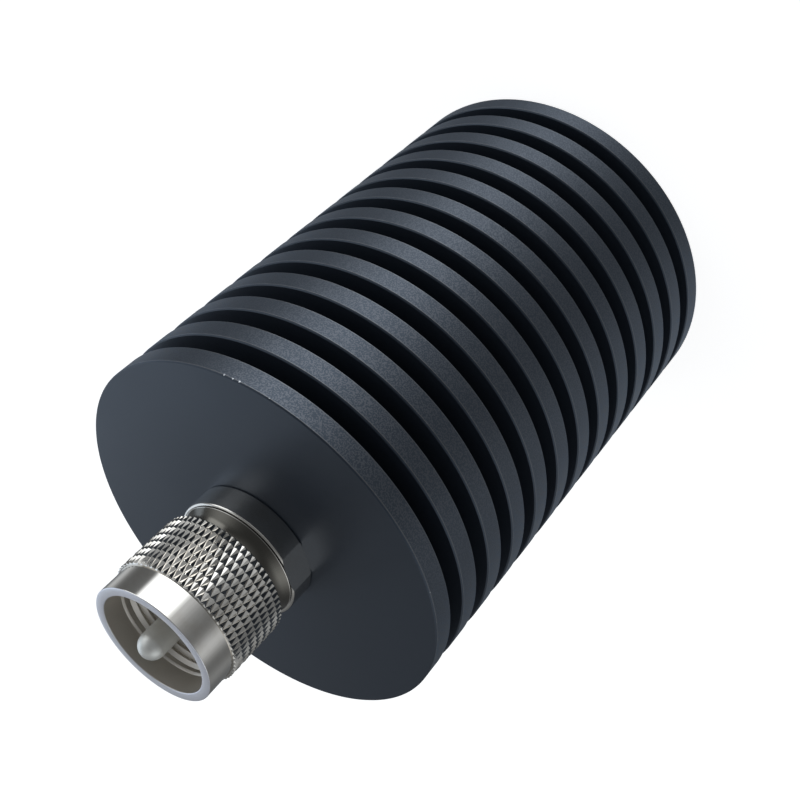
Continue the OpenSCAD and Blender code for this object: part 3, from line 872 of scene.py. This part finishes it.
class DUMMYLOAD_OT_coupling_nut(bpy.types.Operator):
    """Make the coupling nut with its knurl and thread"""

    bl_idname = "dummy_load.coupling_nut"
    bl_label = "Coupling Nut"

    def execute(self, context):
        settings = context.scene.dummy_load
        s = settings.nut
        shell = lathe(nut_outline(s, settings.connector), NUT_STEPS, closed=True)
        bm = joined(shell, knurl_band(s), thread_ridge(s))
        # Inside the mouth the plate gets a light painted shade in the stain's colour; the rim face is satin,
        # its colour a painted reflection
        finish = plated_finish("nickel_nut", settings.connector.plate_colour, rough=0.07,
                               marks=0.0010 * MM, stain_and_shade_tint=STAIN_AND_SHADE, shade_inside=s.mouth_radius + FINISH_EDGE,
                               satin_inside=s.mouth_radius, satin_beyond=NUT_HIGH.z - RIM_FACE_DEPTH)
        add_piece("knurled_nut", bm, finish, "nut", "coupling_nut")
        return {"FINISHED"}


class DUMMYLOAD_OT_contact_pin(bpy.types.Operator):
    """Make the centre contact with its round nose"""

    bl_idname = "dummy_load.contact_pin"
    bl_label = "Contact Pin"

    def execute(self, context):
        s = context.scene.dummy_load.pin
        bm = lathe(pin_outline(s), PIN_STEPS)
        finish = plated_finish("pin_plate", s.plate_colour, rough=0.20, marks=0.0015 * MM,
                               satin_inside=s.shoulder_radius)
        add_piece("contact_pin", bm, finish, "load", "centre_pin")
        return {"FINISHED"}


class DUMMYLOAD_OT_inner_parts(bpy.types.Operator):
    """Finish the insulators, the retaining ring and the resistor inside"""

    bl_idname = "dummy_load.inner_parts"
    bl_label = "Inner Parts"

    def execute(self, context):
        white = insulator_finish()
        ceramic = ceramic_finish()
        finishes = {
            "front_insulator": white,
            "rear_insulator": white,
            "retaining_ring": bare_metal_finish("spring_bronze", *SPRING_BRONZE),
            "resistor_carrier": bare_metal_finish("copper", *COPPER),
            "resistor_flange": plated_finish("flange_plate", FLANGE_PLATE, rough=0.22, marks=0.0015 * MM),
            "resistor_substrate": ceramic,
            "resistor_lid": ceramic,
            "lead_tab": bare_metal_finish("silver_ribbon", *SILVER_RIBBON),
            "flange_screw": bare_metal_finish("screw_steel", *SCREW_STEEL),
        }
        finishes["spring_washer"] = finishes["flange_screw"]
        for node, finish in finishes.items():
            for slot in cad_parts[node].material_slots:
                slot.material = finish
        return {"FINISHED"}


def add_light(name, place, target, size, power, tint):
    """A soft rectangular light turned to a target."""
    lamp = bpy.data.lights.new(name, "AREA")
    lamp.shape = "RECTANGLE"
    lamp.size, lamp.size_y = size
    lamp.energy = power
    lamp.color = tint
    light = bpy.data.objects.new(name, lamp)
    light.location = place
    light.rotation_euler = (Vector(target) - Vector(place)).to_track_quat("-Z", "Y").to_euler()
    bpy.context.scene.collection.objects.link(light)


def seen_plainly(sheet):
    """1 where the camera looks, also through something clear, and 0 for all light that reaches the part."""
    camera = sheet.node("ShaderNodeLightPath", output="Is Camera Ray")
    through = sheet.node("ShaderNodeLightPath", output="Is Transmission Ray")
    return camera.at_least(through)


def floor_finish(s):
    """Pale sheet, white to the camera, that keeps the shadow of the part."""
    sheet = new_sheet("floor_sheet")
    white = sheet.blend(seen_plainly(sheet), (0.0, 0.0, 0.0), [s.floor_glow] * 3)
    return sheet.surface(Base_Color=shade(s.floor_colour), Roughness=1.0, Specular_IOR_Level=0.0,
                         Emission_Color=white, Emission_Strength=1.0)


# Soft panels round the part: bearing and height in degrees, tightness and strength
STUDIO_PANELS = (
    (138.0, -36.0, 26.0, 2.7),
    (95.0, -15.0, 8.0, 0.25),
    (97.0, -23.0, 50.0, 0.3),
    (25.0, -24.0, 26.0, 0.5),
    (-30.0, -22.0, 30.0, 0.12),
    (230.0, -25.0, 40.0, 0.5),
    (5.0, 30.0, 10.0, 1.0),
    (172.0, 30.0, 12.0, 0.9),
    (-80.0, 62.0, 8.0, 0.3),
    (-94.0, 13.0, 120.0, 0.75),
)

# Windows with firm edges: bearing, half width, low edge, high edge and softness in degrees, and strength
STUDIO_WINDOWS = (
    (134.0, 30.0, -33.0, -11.5, 6.0, 1.6),
    (168.0, 18.0, -14.0, 14.0, 5.0, 1.5),
)

# How steeply down, as a sine, the white sheet begins and is full
SHEET_FROM, SHEET_FULL = 0.42, 0.85

# Dark flags before the white sheet, in the same terms as the panels
STUDIO_FLAGS = (
    (60.0, -52.0, 3.0, 0.95),
    (195.0, -50.0, 3.0, 0.95),
    (-70.0, -60.0, 8.0, 0.75),
)


def facing(sheet, direction, bearing, height):
    """Cosine of the angle between a direction and a given bearing and height."""
    turn, lift = math.radians(bearing), math.radians(height)
    towards = (math.cos(turn) * math.cos(lift), math.sin(turn) * math.cos(lift), math.sin(lift))
    return sheet.node("ShaderNodeVectorMath", {"operation": "DOT_PRODUCT"},
                      {0: direction, 1: towards}, "Value")


def lobe(sheet, direction, bearing, height, tightness, strength):
    """Soft spot of a given strength in one direction from the part."""
    return strength * facing(sheet, direction, bearing, height).at_least(0.0) ** tightness


def window(sheet, direction, height, bearing, half_width, low, high, softness, strength):
    """Window of a given width between two heights."""
    def across(angle):
        return math.cos(math.radians(angle))

    def level(angle):
        return math.sin(math.radians(angle))

    aside = facing(sheet, direction, bearing, 0.0) / (1 - height * height) ** 0.5
    sides = sheet.step(aside, across(half_width + softness), across(half_width - softness))
    above = sheet.step(height, level(low - softness), level(low + softness))
    beyond = sheet.step(height, level(high - softness), level(high + softness))
    return strength * sides * (above - beyond)


def set_world(s):
    """Studio that the part's surfaces show, with a white sheet below, plain white where the camera looks."""
    world = bpy.data.worlds.new("studio")
    bpy.context.scene.world = world
    sheet = NodeSheet(world)
    direction = sheet.node("ShaderNodeTexCoord", output="Generated")
    height = sheet.node("ShaderNodeSeparateXYZ", None, {"Vector": direction}, "Z")
    level = sheet.step(-1.0 * height, SHEET_FROM, SHEET_FULL)
    for flag in STUDIO_FLAGS:
        level = level * (1 - lobe(sheet, direction, *flag))
    level = level + s.room_level
    for opening in STUDIO_WINDOWS:
        level = level + window(sheet, direction, height, *opening)
    for panel in STUDIO_PANELS:
        level = level + lobe(sheet, direction, *panel)
    parts = {name: level * part for name, part in zip(("Red", "Green", "Blue"), s.light_tint)}
    daylight = sheet.node("ShaderNodeCombineColor", None, parts)
    tone = sheet.blend(seen_plainly(sheet), daylight, (1.0, 1.0, 1.0))
    background = sheet.node("ShaderNodeBackground", None, {"Color": tone})
    sheet.node("ShaderNodeOutputWorld", None, {"Surface": background})


# Broad card behind the part: where it stands, what it faces, and its width and height, in metres
CARD_PLACE = (-0.54, -0.68, 0.44)
CARD_TARGET = (0.0, 0.0, 0.05)
CARD_SIZE = (0.9, 0.7)

# Width of the camera's sensor in millimetres, and the nearest thing that it sees, in metres
SENSOR_WIDTH = 36.0
NEAREST = 0.001


class DUMMYLOAD_OT_stage(bpy.types.Operator):
    """Lay the floor and set the lights and the camera"""

    bl_idname = "dummy_load.stage"
    bl_label = "Studio"

    def execute(self, context):
        scene = context.scene
        s = scene.dummy_load.stage
        bm = bmesh.new()
        bmesh.ops.create_grid(bm, x_segments=4, y_segments=4, size=s.floor_size / 2)
        mesh = bpy.data.meshes.new("floor")
        bm.to_mesh(mesh)
        bm.free()
        mesh.materials.append(floor_finish(s))
        floor = bpy.data.objects.new("floor", mesh)
        scene.collection.objects.link(floor)
        floor.visible_glossy = False
        floor.visible_diffuse = False
        floor.visible_shadow = False
        set_world(s)
        add_light("back_card", CARD_PLACE, CARD_TARGET, CARD_SIZE, s.card_power, s.card_tint)
        lens = bpy.data.cameras.new("camera")
        lens.sensor_fit = "HORIZONTAL"
        lens.sensor_width = SENSOR_WIDTH
        lens.lens = s.focal_length
        lens.clip_start = NEAREST
        camera = bpy.data.objects.new("camera", lens)
        camera.location = s.camera_place
        camera.rotation_euler = Euler(s.camera_turn)
        scene.collection.objects.link(camera)
        scene.camera = camera
        scene.view_settings.view_transform = "Standard"
        return {"FINISHED"}


OPERATORS = (
    DUMMYLOAD_OT_heatsink,
    DUMMYLOAD_OT_connector,
    DUMMYLOAD_OT_coupling_nut,
    DUMMYLOAD_OT_contact_pin,
    DUMMYLOAD_OT_inner_parts,
    DUMMYLOAD_OT_stage,
)


class DUMMYLOAD_PT_sidebar(bpy.types.Panel):
    """Pieces of the dummy load and its studio"""

    bl_idname = "DUMMYLOAD_PT_sidebar"
    bl_label = "Dummy Load"
    bl_space_type = "VIEW_3D"
    bl_region_type = "UI"
    bl_category = "Dummy Load"

    def draw(self, context):
        for operator in OPERATORS:
            self.layout.operator(operator.bl_idname)


CLASSES = (
    HeatsinkSettings,
    ConnectorSettings,
    NutSettings,
    PinSettings,
    StageSettings,
    DummyLoadSettings,
    *OPERATORS,
    DUMMYLOAD_PT_sidebar,
)


def register():
    for cls in CLASSES:
        bpy.utils.register_class(cls)
    bpy.types.Scene.dummy_load = PointerProperty(type=DummyLoadSettings)


def unregister():
    del bpy.types.Scene.dummy_load
    for cls in reversed(CLASSES):
        bpy.utils.unregister_class(cls)


def main():
    register()
    bpy.ops.dummy_load.heatsink()
    bpy.ops.dummy_load.connector()
    bpy.ops.dummy_load.coupling_nut()
    bpy.ops.dummy_load.contact_pin()
    bpy.ops.dummy_load.inner_parts()
    bpy.ops.dummy_load.stage()


if __name__ == "__main__":
    main()
